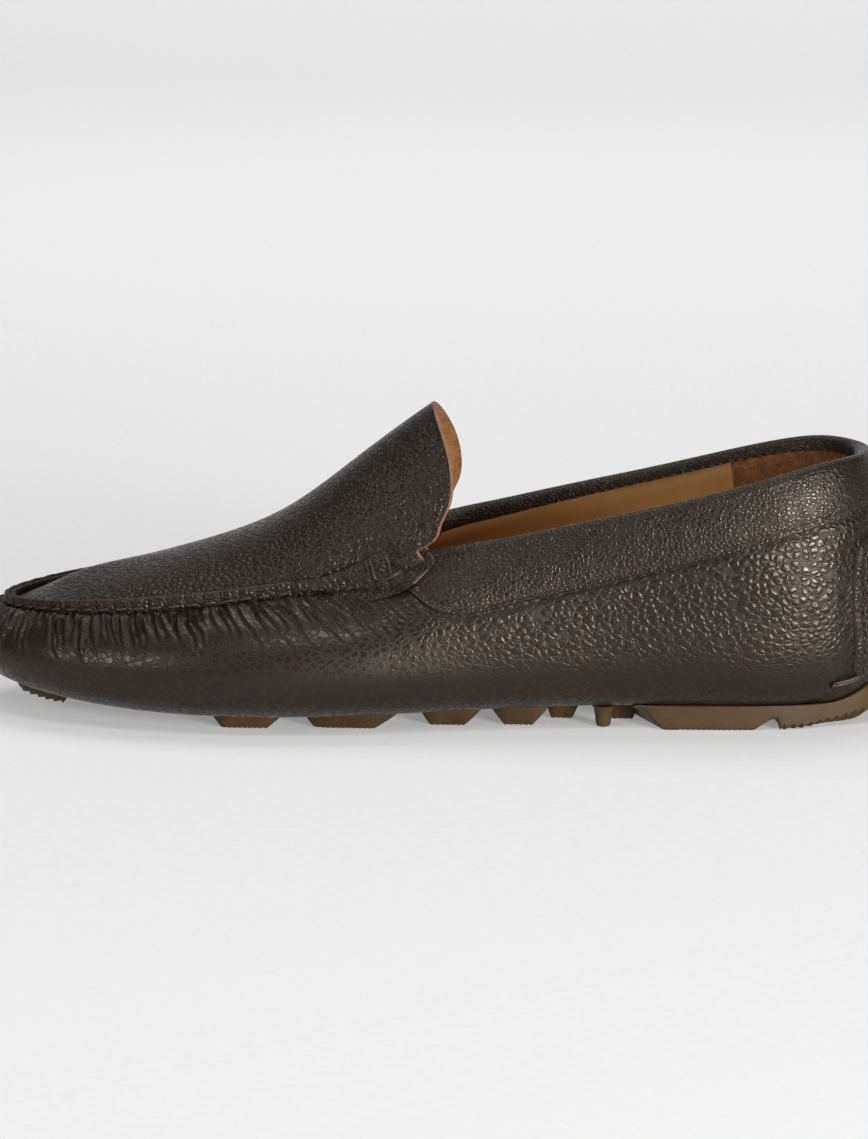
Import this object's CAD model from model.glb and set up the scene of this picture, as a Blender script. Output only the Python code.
import math

import bmesh
import bpy
import numpy as np
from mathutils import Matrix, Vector


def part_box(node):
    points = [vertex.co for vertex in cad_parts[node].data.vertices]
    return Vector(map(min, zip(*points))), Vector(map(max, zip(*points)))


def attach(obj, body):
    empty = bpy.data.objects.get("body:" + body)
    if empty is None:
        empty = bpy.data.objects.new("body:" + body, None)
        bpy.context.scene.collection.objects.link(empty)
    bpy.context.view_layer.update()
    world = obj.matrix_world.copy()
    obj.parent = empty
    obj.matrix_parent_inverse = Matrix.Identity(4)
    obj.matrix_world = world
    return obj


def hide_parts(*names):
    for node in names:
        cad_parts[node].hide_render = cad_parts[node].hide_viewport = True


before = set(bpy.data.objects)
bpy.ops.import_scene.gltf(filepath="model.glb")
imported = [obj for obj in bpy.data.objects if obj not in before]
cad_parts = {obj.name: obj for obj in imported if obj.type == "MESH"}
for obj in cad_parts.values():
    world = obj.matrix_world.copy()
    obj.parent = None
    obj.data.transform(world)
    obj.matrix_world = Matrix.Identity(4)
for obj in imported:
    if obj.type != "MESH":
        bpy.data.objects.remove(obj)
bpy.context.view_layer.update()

# A man's driving moccasin.  The form is written in millimetres in the frame's own axes
# (toe towards -X, lateral side towards -Y) and turned into metres when a mesh is made.
MM = 0.001
WELD = 3e-6                   # vertices nearer than this are one, in metres
SEED = 7

# ---- driving dimensions, the same as the shoe's own ----------------------------------
wrap_low, wrap_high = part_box("wrap")
HALF_LENGTH = (wrap_high[0] - wrap_low[0]) / 2 / MM
LEATHER = 1.3
PADDING = 0.8
LINING = 0.7
BAND = 0.9
GAP = 0.25
SEAM_RIDGE = 4.4
RIDGE_INSET = 0.12
APRON_INSET = RIDGE_INSET + LEATHER + GAP
SPINE_TOE = -105.0
SPINE_HEEL = 112.0
BLEND_FROM, BLEND_TO = -24.0, 14.0
LINING_OFFSET = -LEATHER - PADDING - 2 * GAP
FOLD = 2.6
INNER_FOLD = 0.8


def smooth_curve(*knots):
    """A natural cubic curve through (position, value) knots, straight beyond its ends."""
    xs = np.array([k[0] for k in knots], dtype=float)
    ys = np.array([k[1] for k in knots], dtype=float)
    h = np.diff(xs)
    slope = np.diff(ys) / h
    matrix = np.eye(len(xs))
    rhs = np.zeros(len(xs))
    for i in range(1, len(xs) - 1):
        matrix[i, i - 1:i + 2] = h[i - 1], 2 * (h[i - 1] + h[i]), h[i]
        rhs[i] = 6 * (slope[i] - slope[i - 1])
    bend = np.linalg.solve(matrix, rhs)
    first = slope[0] - h[0] * bend[1] / 6
    last = slope[-1] + h[-1] * bend[-2] / 6

    def value(x):
        x = np.asarray(x, dtype=float)
        i = np.clip(np.searchsorted(xs, x, side="right") - 1, 0, len(h) - 1)
        a = (xs[i + 1] - x) / h[i]
        b = 1 - a
        inside = (a * ys[i] + b * ys[i + 1]
                  + ((a ** 3 - a) * bend[i] + (b ** 3 - b) * bend[i + 1]) * h[i] ** 2 / 6)
        before = ys[0] + first * (x - xs[0])
        after = ys[-1] + last * (x - xs[-1])
        return np.where(x < xs[0], before, np.where(x > xs[-1], after, inside))

    return value


GIRTH_LATERAL = smooth_curve((-145, 67), (-100, 61), (-50, 56), (0, 46), (50, 40.5),
                             (100, 48), (145, 66))
GIRTH_MEDIAL = smooth_curve((-145, 67), (-100, 64), (-55, 56), (0, 43.5), (50, 39.5),
                            (100, 48), (145, 66))
SOLE_LINE = smooth_curve((-145, 17), (-130, 11.5), (-110, 7.6), (-85, 5.4), (-45, 5.0),
                         (0, 5.8), (45, 7.0), (145, 7.0))
WIDEST_Z = smooth_curve((0, 22), (0.25, 19), (0.4, 19), (0.6, 25), (0.8, 30), (1, 33))
TURN = smooth_curve((0, 15), (0.3, 16), (0.6, 13), (1, 10))
INSET = smooth_curve((0, 11), (0.13, 12), (0.25, 14), (0.35, 19), (0.42, 19), (0.5, 14),
                     (0.6, 7), (0.75, 5), (0.88, 7.2), (1, 11))
SHOULDER = smooth_curve((0, 62), (0.3, 68), (0.42, 66), (0.55, 50), (0.75, 50), (1, 55))
SEAM_Z = smooth_curve((-134, 33), (-100, 35.6), (-70, 38.2), (-45, 41.6), (-20, 44.2),
                      (0, 45.5), (20, 46.5))
TOPLINE_Z = smooth_curve((-20, 52), (2, 56.5), (23, 60), (53, 66.3), (84, 73.2), (108, 79.6),
                         (124, 83.4), (139, 84.2))
MEDIAL_RISE = smooth_curve((-20, 0), (10, 1.2), (30, 2.2), (60, 2.3), (100, 2.2), (132, 0))
RISE_ENDS = (-20, 132)        # x between which the medial topline stands higher
BAND_EDGE_Z = smooth_curve((-7, 47), (-2, 44), (3, 40.7), (11, 38.6), (20, 39.8),
                           (47, 46.4), (88, 56), (115, 64), (138, 70))
APRON_TOP_Z = smooth_curve((-134, 34.5), (-105, 44), (-91, 47), (-66, 54), (-47, 62),
                           (-22, 80.2), (0, 96.5), (14, 106))
ARCH_POWER = smooth_curve((0, 0.85), (0.25, 0.8), (0.4, 0.62), (0.5, 0.56), (0.6, 0.55))
WRAP_TOP_Z = smooth_curve((-134, 33), (-100, 35.6), (-70, 38.2), (-45, 41.6), (-20, 44.2),
                          (0, 45.5), (20, 48), (47, 54.5), (88, 64), (115, 71.5), (139, 76))


# ---- the form ------------------------------------------------------------------------
# A place on the loop is a station: 0 to 1 on the lateral side, from the toe to the heel,
# and 1 to 2 on the medial side, back to the toe.
def station(loop):
    loop = np.asarray(loop, dtype=float)
    return np.where(loop <= 1, loop, 2 - loop), np.where(loop <= 1, -1.0, 1.0)


def section_frame(loop):
    """Spine x, outward direction and reach of the section plane at a place on the loop."""
    u, sign = station(loop)
    x = -HALF_LENGTH * np.cos(math.pi * u)
    girth = np.where(sign < 0, GIRTH_LATERAL(x), GIRTH_MEDIAL(x))
    y = sign * np.sin(math.pi * u) * girth
    spine_x = SPINE_TOE + (SPINE_HEEL - SPINE_TOE) * (1 - np.cos(math.pi * u)) / 2
    reach = np.hypot(x - spine_x, y)
    return spine_x, (x - spine_x) / reach, y / reach, reach


def on_loop(signed):
    """Stations below 0 are on the medial side."""
    return np.where(signed >= 0, signed, 2 + signed)


def whole_loop(stations):
    """Stations 0 to 1 and the same ones back on the medial side, as a column."""
    return np.concatenate([stations, 2 - stations[-2:0:-1]])[:, None]


def run_length(path):
    """Distance along a path from its first point."""
    steps = np.linalg.norm(np.diff(path, axis=0), axis=1)
    return np.concatenate([[0], np.cumsum(steps)])


def place(loop, rho, z):
    spine_x, ex, ey, _ = section_frame(loop)
    rho, z, spine_x, ex, ey = np.broadcast_arrays(rho, z, spine_x, ex, ey)
    return np.stack([spine_x + ex * rho, ey * rho, z], axis=-1)


def rim_x(loop):
    u, _ = station(loop)
    spine_x, ex, _, reach = section_frame(loop)
    return spine_x + ex * (reach - INSET(u))


def topline_z(loop):
    x = rim_x(loop)
    medial = station(loop)[1] > 0
    return TOPLINE_Z(x) + np.where(medial, MEDIAL_RISE(np.clip(x, *RISE_ENDS)), 0)


def reference_z(loop):
    """Height of the wall's rim: the seam along the vamp, the topline behind it."""
    x = rim_x(loop)
    blend = np.clip((x - BLEND_FROM) / (BLEND_TO - BLEND_FROM), 0, 1)
    blend = blend * blend * (3 - 2 * blend)
    return SEAM_Z(x) * (1 - blend) + topline_z(loop) * blend


def widest_z(loop):
    return WIDEST_Z(station(loop)[0])


def wall_rho(loop, z):
    u, _ = station(loop)
    reach = section_frame(loop)[3]
    lean = np.radians(SHOULDER(u))
    rise = (z - WIDEST_Z(u)) / (reference_z(loop) - WIDEST_Z(u))
    s = np.clip(rise * np.sin(lean), 0, 0.999)
    return reach - INSET(u) * (1 - np.sqrt(1 - s * s)) / (1 - np.cos(lean))


def wall(loop, z, offset=0.0):
    """(rho, z) on the wall, moved along its normal: positive is outwards."""
    step = 0.05
    slope = (wall_rho(loop, z + step) - wall_rho(loop, z - step)) / (2 * step)
    size = np.hypot(1, slope)
    return wall_rho(loop, z) + offset / size, z - offset * slope / size


def wall_point(loop, z, offset=0.0):
    return place(loop, *wall(loop, z, offset))


def turn(loop, angle, offset=0.0):
    """(rho, z) on the rounded edge under the widest line: 0 is the bottom, 90 the side."""
    u, _ = station(loop)
    reach = section_frame(loop)[3]
    radius = TURN(u)
    low = SOLE_LINE(place(loop, reach - radius, 0)[..., 0])
    height = WIDEST_Z(u) - low
    a = np.radians(angle)
    nx, nz = np.sin(a) * height, -np.cos(a) * radius
    size = np.hypot(nx, nz)
    rho = reach - radius + radius * np.sin(a)
    return rho + offset * nx / size, low + height * (1 - np.cos(a)) + offset * nz / size


def turn_point(loop, angle, offset=0.0):
    return place(loop, *turn(loop, angle, offset))


def bottom(loop, share, offset=0.0):
    """(rho, z) under the foot: share 0 is the spine, 1 the start of the rounded edge."""
    u, _ = station(loop)
    rho = share * (section_frame(loop)[3] - TURN(u))
    return rho, SOLE_LINE(place(loop, rho, 0)[..., 0]) - offset


def bottom_point(loop, share, offset=0.0):
    return place(loop, *bottom(loop, share, offset))


def arch(loop, share, offset=0.0, inset=APRON_INSET):
    """(rho, z) on the apron: share 0 is the spine, 1 its sewn edge."""
    u, _ = station(loop)
    spine_x, ex, _, reach = section_frame(loop)
    edge = reach - INSET(u) - inset
    low = SEAM_Z(place(loop, edge, 0)[..., 0])
    power = ARCH_POWER(u)

    def height(rho):
        high = APRON_TOP_Z(spine_x + ex * rho)
        return low + (high - low) * np.maximum(1 - (rho / edge) ** 2, 1e-9) ** power

    share = np.minimum(share, 0.998)
    rho = edge * np.sin(share * math.pi / 2)
    step = 0.02
    back = np.maximum(rho - step, 0)
    slope = (height(rho + step) - height(back)) / (rho + step - back)
    slope = slope * np.clip(share / 0.15, 0, 1)
    size = np.hypot(1, slope)
    return rho - offset * slope / size, height(rho) + offset / size


# ---- places on the shoe --------------------------------------------------------------
def solve(function, target, low, high, rounds=40):
    """Where a rising function meets a target, for whole arrays at once."""
    low = np.array(low, dtype=float) + np.zeros_like(np.asarray(target, dtype=float))
    high = np.array(high, dtype=float) + np.zeros_like(low)
    for _ in range(rounds):
        middle = (low + high) / 2
        below = function(middle) < target
        low = np.where(below, middle, low)
        high = np.where(below, high, middle)
    return (low + high) / 2


def loop_at(x, side):
    """The place on the loop whose rim stands over x on one side (-1 lateral, 1 medial)."""
    if side < 0:
        return solve(rim_x, x, 0.0, 1.0)
    return 2 - solve(lambda u: rim_x(2 - u), x, 0.0, 1.0)


def even_loop(first, last, spacing, z_of=reference_z):
    """Places along the loop, evenly spaced along the rim."""
    fine = np.linspace(first, last, 4001)
    length = run_length(wall_point(fine, z_of(fine)))
    count = max(int(round(length[-1] / spacing)), 2) + 1
    return np.interp(np.linspace(0, length[-1], count), length, fine), length[-1]


# ---- mesh building -------------------------------------------------------------------
class Shape:
    """Gathers grids and tubes in millimetres and makes one mesh object in metres."""

    def __init__(self):
        self.verts, self.faces, self.slots, self.marks = [], [], [], []
        self.count = 0

    def add_points(self, points, mark=0.0):
        points = np.asarray(points, dtype=float)
        flat = points.reshape(-1, 3)
        self.verts.append(flat)
        self.marks.append(np.broadcast_to(mark, points.shape[:-1]).reshape(-1))
        start = self.count
        self.count += len(flat)
        return start + np.arange(len(flat)).reshape(points.shape[:-1])

    def skin(self, index, slot=0, wrap_rows=False, wrap_columns=False, flip=False):
        """Quads over a grid of vertex numbers."""
        if wrap_rows:
            index = np.concatenate([index, index[:1]], axis=0)
        if wrap_columns:
            index = np.concatenate([index, index[:, :1]], axis=1)
        quads = np.stack([index[:-1, :-1], index[1:, :-1], index[1:, 1:], index[:-1, 1:]],
                         axis=-1).reshape(-1, 4)
        if flip:
            quads = quads[:, ::-1]
        self.faces.extend(quads.tolist())
        self.slots.extend([slot] * len(quads))

    def cap(self, ring, slot=0, flip=False):
        face = list(ring[::-1] if flip else ring)
        self.faces.append([int(i) for i in face])
        self.slots.append(slot)

    def sheet(self, outer, inner, edge_slot=0):
        """A sheet between two grids of the same size, with strips along its four edges."""
        over = self.add_points(outer)
        under = self.add_points(inner)
        self.skin(over)
        self.skin(under, flip=True)
        for end, flip in ((0, False), (-1, True)):
            self.skin(np.stack([under[:, end], over[:, end]], axis=1), edge_slot, flip=flip)
            self.skin(np.stack([over[end], under[end]], axis=1), edge_slot, flip=flip)

    def bowl(self, outer, inner, mark=0.0, rim_slot=0):
        """A sheet whose rows run all the way round, with a strip along its rim."""
        over = self.add_points(outer, mark)
        under = self.add_points(inner)
        self.skin(over, wrap_rows=True)
        self.skin(under, wrap_rows=True, flip=True)
        rim = np.stack([under[:, 0], over[:, 0]], axis=1)
        self.skin(rim, rim_slot, wrap_rows=True)

    def loft(self, points, flip=False):
        """A solid through rows of points, each row a closed ring."""
        index = self.add_points(points)
        self.skin(index, wrap_columns=True, flip=flip)
        self.cap(index[0], flip=not flip)
        self.cap(index[-1], flip=flip)

    def tube(self, path, radius, sides=8, closed=False):
        """A round thread along a path, narrower at its ends unless it is closed."""
        path = np.asarray(path, dtype=float)
        tangent = np.gradient(path, axis=0)
        tangent /= np.linalg.norm(tangent, axis=1)[:, None] + 1e-12
        across = np.cross(tangent, [0.0, 0.0, 1.0])
        weak = np.linalg.norm(across, axis=1) < 1e-3
        across[weak] = np.cross(tangent[weak], [1.0, 0.0, 0.0])
        across /= np.linalg.norm(across, axis=1)[:, None]
        normal = np.cross(across, tangent)
        width = np.full(len(path), float(radius))
        if not closed:
            width[[0, -1]] *= 0.55
        angle = np.linspace(0, 2 * math.pi, sides, endpoint=False)
        ring = (across[:, None] * np.cos(angle)[None, :, None]
                + normal[:, None] * np.sin(angle)[None, :, None])
        points = path[:, None] + ring * width[:, None, None]
        if closed:
            self.skin(self.add_points(points), wrap_rows=True, wrap_columns=True, flip=True)
        else:
            self.loft(points, flip=True)

    def build(self, name, materials, slot_name, *nodes, smooth_angle=50, weld=False):
        mesh = bpy.data.meshes.new(name)
        verts = np.concatenate(self.verts) * MM
        mesh.from_pydata(verts.tolist(), [], self.faces)
        for material in materials:
            mesh.materials.append(material)
        mesh.polygons.foreach_set("material_index", self.slots)
        mark = mesh.attributes.new("mark", "FLOAT", "POINT")
        mark.data.foreach_set("value", np.concatenate(self.marks).astype(np.float32))
        mesh.validate()
        if weld:
            work = bmesh.new()
            work.from_mesh(mesh)
            bmesh.ops.remove_doubles(work, verts=work.verts, dist=WELD)
            bmesh.ops.recalc_face_normals(work, faces=work.faces)
            work.to_mesh(mesh)
            work.free()
        mesh.shade_smooth()
        mesh.set_sharp_from_angle(angle=math.radians(smooth_angle))
        piece = bpy.data.objects.new(name, mesh)
        bpy.context.scene.collection.objects.link(piece)
        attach(piece, "root")
        if nodes:
            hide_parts(*nodes)
        return piece


def surface_normals(points):
    """Unit normals of a grid, across rows then columns."""
    along = np.gradient(points, axis=0)
    across = np.gradient(points, axis=1)
    normal = np.cross(along, across)
    return normal / (np.linalg.norm(normal, axis=-1, keepdims=True) + 1e-12)


def hump(count, power=0.5):
    """Values that rise from 0 to 1 and fall back to 0."""
    return np.sin(np.linspace(0, math.pi, count)) ** power


def noise_1d(x, seed, octaves=3):
    """Smooth repeatable noise, roughly -1 to 1."""
    generator = np.random.default_rng(seed)
    total = np.zeros_like(np.asarray(x, dtype=float))
    for octave in range(octaves):
        for _ in range(4):
            rate = generator.uniform(0.5, 1.6) * 2 ** octave
            phase = generator.uniform(0, 2 * math.pi)
            total = total + np.sin(x * rate + phase) / 4 / 1.7 ** octave
    return total


def noise_2d(x, y, seed, octaves=3):
    generator = np.random.default_rng(seed)
    total = np.zeros(np.broadcast(x, y).shape)
    for octave in range(octaves):
        for _ in range(6):
            angle = generator.uniform(0, 2 * math.pi)
            rate = generator.uniform(0.6, 1.4) * 2 ** octave
            phase = generator.uniform(0, 2 * math.pi)
            wave = (x * math.cos(angle) + y * math.sin(angle)) * rate + phase
            total = total + np.sin(wave) / 4 / 1.8 ** octave
    return total


def fade(value, start, end):
    """1 before start, 0 after end, smooth between."""
    share = np.clip((value - start) / (end - start), 0, 1)
    return 1 - share * share * (3 - 2 * share)


# ---- materials -----------------------------------------------------------------------
class Nodes:
    """A small helper that adds and links shader nodes."""

    def __init__(self, name):
        self.material = bpy.data.materials.new(name)
        self.material.use_nodes = True
        self.tree = self.material.node_tree
        self.shader = self.tree.nodes["Principled BSDF"]
        self.coords = self.node("TexCoord").outputs["Object"]

    def set(self, socket, value):
        """Links a socket or sets its value; three numbers are enough for a colour."""
        if isinstance(value, bpy.types.NodeSocket):
            self.tree.links.new(value, socket)
        elif socket.type == "RGBA" and len(value) == 3:
            socket.default_value = (*value, 1)
        else:
            socket.default_value = value

    def fill(self, node, values):
        """Sets a node's inputs by name, with _ for a space."""
        for name, value in values.items():
            self.set(node.inputs[name.replace("_", " ")], value)

    def node(self, kind, **values):
        node = self.tree.nodes.new("ShaderNode" + kind)
        self.fill(node, values)
        return node

    def noise(self, scale, detail=2.0, rough=0.5, output="Fac"):
        return self.node("TexNoise", Vector=self.coords, Scale=scale, Detail=detail,
                         Roughness=rough).outputs[output]

    def warp(self, scale, amount):
        """Object coordinates pushed about by noise."""
        centred = self.vector("SUBTRACT", self.noise(scale, output="Color"), (0.5, 0.5, 0.5))
        return self.vector("ADD", self.coords, self.vector("SCALE", centred, amount))

    def vector(self, operation, first, second):
        node = self.node("VectorMath")
        node.operation = operation
        self.set(node.inputs[0], first)
        self.set(node.inputs["Scale" if operation == "SCALE" else 1], second)
        return node.outputs["Vector"]

    def axes(self):
        return self.node("SeparateXYZ", Vector=self.coords).outputs

    def voronoi(self, scale, coords=None, feature="F1"):
        node = self.node("TexVoronoi", Vector=coords or self.coords, Scale=scale)
        node.feature = feature
        return node.outputs["Distance"]

    def math(self, operation, first, second):
        node = self.node("Math")
        node.operation = operation
        self.set(node.inputs[0], first)
        self.set(node.inputs[1], second)
        return node.outputs[0]

    def add(self, first, second):
        return self.math("ADD", first, second)

    def times(self, first, second):
        return self.math("MULTIPLY", first, second)

    def span(self, value, low, high, new_low=0.0, new_high=1.0):
        """A smooth step from one value to another between low and high."""
        node = self.node("MapRange", Value=value, From_Min=low, From_Max=high,
                         To_Min=new_low, To_Max=new_high)
        node.interpolation_type = "SMOOTHSTEP"
        return node.outputs["Result"]

    def mix(self, share, first, second):
        node = self.node("Mix")
        node.data_type = "RGBA"
        self.fill(node, {"Factor": share, "A": first, "B": second})
        return node.outputs["Result"]

    def mark(self):
        """The vertex marks that Shape.add_points() took: 1 where the leather is creased."""
        node = self.node("Attribute")
        node.attribute_name = "mark"
        return node.outputs["Fac"]

    def bump(self, height, distance, strength=1.0):
        return self.node("Bump", Height=height, Distance=distance,
                         Strength=strength).outputs["Normal"]

    def finish(self, colour, rough, normal=None, **fixed):
        """Joins the colour, roughness and bump to the shader and sets its other values."""
        self.fill(self.shader, {"Base Color": colour, "Roughness": rough, **fixed})
        if normal is not None:
            self.set(self.shader.inputs["Normal"], normal)
        return self.material


def shaded(tone, factor):
    """A colour made darker or lighter, none of its parts above 1."""
    return tuple(min(1.0, factor * c) for c in tone)


LEATHER_DARK = (0.0070, 0.0036, 0.0024)
LEATHER_LIGHT = (0.0165, 0.0095, 0.0062)
WARM_GLOSS = (1.0, 0.87, 0.74, 1.0)
RAW_EDGE = (0.27, 0.135, 0.08)
TAN = (0.60, 0.31, 0.105)
SUEDE = (0.31, 0.128, 0.042)
GUM = (0.058, 0.031, 0.0085)


def pebbled_leather(name="leather_pebbled", grain=640.0, depth=0.00030, tumbled=False):
    """Full-grain leather with a rounded pebble grain, darker in its creases."""
    n = Nodes(name)
    warped = n.warp(330.0, 0.0013)
    stretched = n.vector("MULTIPLY", warped, (0.85, 1.0, 1.15))
    dome = n.span(n.voronoi(grain, stretched), 0.0, 0.62, 1.0, 0.0)
    crease = n.voronoi(grain, stretched, "DISTANCE_TO_EDGE")
    groove = n.span(crease, 0.0, 0.26)
    small = n.span(n.voronoi(grain * 2.6, warped, "DISTANCE_TO_EDGE"), 0.0, 0.3)
    fine = n.noise(3200.0, 3.0, 0.6)
    broad = n.noise(30.0, 3.0, 0.55)
    patch = n.noise(95.0, 3.0, 0.6)
    amount = n.span(patch, 0.28, 0.72, 0.6, 1.0)
    if tumbled:
        x, _, z = n.axes()
        risen = n.span(z, 0.010, 0.036, 0.10, 1.0)
        aft = n.span(x, -0.030, 0.045, 0.16, 1.0)
        amount = n.times(amount, n.times(risen, aft))
    relief = n.add(n.times(groove, 0.72), n.times(dome, 0.4))
    relief = n.times(relief, amount)
    height = n.add(relief, n.times(small, 0.10))
    height = n.add(height, n.times(fine, 0.04))
    normal = n.bump(height, depth, 1.0)
    creased = n.span(n.mark(), 0.05, 0.9)
    tone = n.times(groove, n.span(broad, 0.25, 0.75, 0.45, 1.0))
    colour = n.mix(tone, LEATHER_DARK, LEATHER_LIGHT)
    colour = n.mix(n.times(creased, 0.8), colour, LEATHER_DARK)
    rough = n.add(n.span(groove, 0.0, 1.0, 0.47, 0.24),
                   n.times(n.math("SUBTRACT", patch, 0.5), 0.12))
    rough = n.add(rough, n.times(creased, 0.15))
    return n.finish(colour, rough, normal, Specular_IOR_Level=0.36, Specular_Tint=WARM_GLOSS)


def raw_leather_edge(name="leather_raw_edge", tone=RAW_EDGE):
    n = Nodes(name)
    fibre = n.noise(1500.0, 4.0, 0.65)
    broad = n.noise(160.0, 2.0)
    dark = shaded(tone, 0.55)
    colour = n.mix(n.span(fibre, 0.35, 0.7), dark, tone)
    colour = n.mix(n.span(broad, 0.35, 0.75, 0.0, 0.45), colour, shaded(tone, 0.35))
    normal = n.bump(fibre, 0.00012, 0.8)
    return n.finish(colour, 0.85, normal)


def smooth_lining(name="leather_lining"):
    n = Nodes(name)
    fibre = n.noise(1900.0, 4.0, 0.6)
    broad = n.noise(45.0, 3.0)
    pores = n.voronoi(1500.0)
    colour = n.mix(n.span(broad, 0.3, 0.75), shaded(TAN, 0.80), TAN)
    colour = n.mix(n.span(fibre, 0.4, 0.75, 0.0, 0.35), colour, shaded(TAN, 0.6))
    height = n.add(n.times(pores, 0.5), fibre)
    normal = n.bump(height, 0.00005, 0.6)
    return n.finish(colour, n.span(broad, 0.3, 0.7, 0.42, 0.55), normal)


def suede(name="leather_suede", tone=SUEDE):
    n = Nodes(name)
    nap = n.noise(900.0, 5.0, 0.75)
    clumps = n.noise(260.0, 3.0, 0.6)
    dark = shaded(tone, 0.38)
    bright = shaded(tone, 1.35)
    colour = n.mix(n.span(nap, 0.32, 0.68), dark, tone)
    colour = n.mix(n.span(clumps, 0.45, 0.75, 0.0, 0.6), colour, bright)
    height = n.add(nap, n.times(clumps, 0.6))
    normal = n.bump(height, 0.00035, 0.9)
    return n.finish(colour, 0.95, normal, Sheen_Weight=0.1, Sheen_Roughness=0.6,
                    Specular_IOR_Level=0.2)


def gum_rubber(name="rubber_gum"):
    n = Nodes(name)
    speck = n.noise(1400.0, 3.0, 0.6)
    broad = n.noise(70.0, 3.0)
    colour = n.mix(n.span(broad, 0.3, 0.7), shaded(GUM, 0.7), GUM)
    colour = n.mix(n.span(speck, 0.5, 0.8, 0.0, 0.3), colour, shaded(GUM, 1.25))
    normal = n.bump(speck, 0.00008, 0.5)
    return n.finish(colour, n.span(broad, 0.3, 0.7, 0.45, 0.6), normal,
                    Specular_IOR_Level=0.25)


def waxed_thread(name="thread_waxed", tone=(0.030, 0.014, 0.010)):
    n = Nodes(name)
    ply = n.noise(2400.0, 2.0)
    colour = n.mix(n.span(ply, 0.35, 0.7), shaded(tone, 0.5),
                   shaded(tone, 1.8))
    normal = n.bump(ply, 0.00012, 0.8)
    return n.finish(colour, 0.45, normal)


def fibre_board(name="board_fibre"):
    n = Nodes(name)
    fleck = n.noise(700.0, 4.0, 0.7)
    colour = n.mix(fleck, (0.30, 0.22, 0.14), (0.55, 0.44, 0.30))
    return n.finish(colour, 0.9, n.bump(fleck, 0.0001, 0.7))


def foam(name="foam_open_cell"):
    n = Nodes(name)
    cells = n.voronoi(1300.0)
    colour = n.mix(n.span(cells, 0.2, 0.7), (0.34, 0.33, 0.31), (0.16, 0.155, 0.15))
    return n.finish(colour, 0.95, n.bump(cells, 0.0002, 0.8))


LEATHER_SHADE = pebbled_leather(grain=580.0, depth=0.00026)
COLLAR_SHADE = pebbled_leather("leather_collar", 820.0, 0.00012)
TUMBLED_SHADE = pebbled_leather("leather_tumbled", 460.0, 0.00020, True)
FOAM_SHADE = foam()
EDGE_SHADE = raw_leather_edge()
LIP_EDGE_SHADE = raw_leather_edge("leather_lip_edge", (0.06, 0.030, 0.020))
LINING_SHADE = smooth_lining()
SUEDE_SHADE = suede()
GUM_SHADE = gum_rubber()
THREAD_SHADE = waxed_thread()
BOARD_SHADE = fibre_board()


# ---- wrap ----------------------------------------------------------------------------
VAMP_END_X = -3.0             # the gathers end here
random_folds = np.random.default_rng(SEED)
GATHER_LEAN = smooth_curve((0, 0.0), (20, 0.30), (60, 0.55), (100, 0.85), (135, 1.25), (170, 1.3))


def wrap_stations():
    """Places on one side, dense along the gathered vamp and sparse along the quarter."""
    vamp_end = float(loop_at(np.array(VAMP_END_X + 10), -1))
    dense, _ = even_loop(0.0, vamp_end, 0.46)
    sparse, _ = even_loop(vamp_end, 1.0, 2.0)
    return np.concatenate([dense, sparse[1:]])


def gather_depth(along, down):
    """Depths of the puckers and heights of the crests beside them, in millimetres."""
    depth = np.zeros(np.broadcast(along, down).shape)
    crest = np.zeros(depth.shape)
    place_now = 1.0
    while place_now < 168:
        strength = float(fade(place_now, 140, 175)) * 0.6 + 0.4
        deep = random_folds.uniform(0.45, 1.05) * strength
        reach = random_folds.uniform(11.0, 22.0) * (0.55 + 0.45 * strength)
        width = random_folds.uniform(0.34, 0.62)
        lean = float(GATHER_LEAN(place_now)) + random_folds.uniform(-0.10, 0.10)
        sway = random_folds.uniform(0.12, 0.45)
        phase = random_folds.uniform(0, 6.28)
        start = float(random_folds.choice([0.0, 0.0, random_folds.uniform(1.5, 6.0)]))
        middle = place_now + lean * down + sway * np.sin(down * 0.5 + phase)
        profile = np.exp(-((along - middle) / width) ** 2)
        length = fade(down, start + 0.35 * reach, start + reach)
        if start > 0:
            length = length * (1 - fade(down, start - 1.2, start))
        depth = np.maximum(depth, deep * profile * length)
        ridge = np.exp(-((along - middle - 1.15) / (width * 1.3)) ** 2)
        crest = np.maximum(crest, 0.7 * deep * ridge * length)
        place_now += random_folds.uniform(1.25, 2.7)
    return depth, crest


def along_seam(stations):
    return run_length(wall_point(stations, SEAM_Z(rim_x(stations))))


def edge_dents(points, loop):
    """Where the sewn band and the heel patch press a dark line into the wrap."""
    x, y, z = points[..., 0], points[..., 1], points[..., 2]
    under_band = np.exp(-((z - BAND_EDGE_Z(rim_x(loop)) + 0.9) / 1.0) ** 2)
    under_band = under_band * (1 - fade(x, -3, 3))
    beside_patch = np.exp(-((np.abs(y) - PATCH_EDGE(z) - 0.9) / 1.0) ** 2)
    beside_patch = beside_patch * (1 - fade(x, 112, 118)) * fade(z, 58, 62)
    return np.maximum(under_band, beside_patch)


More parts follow.
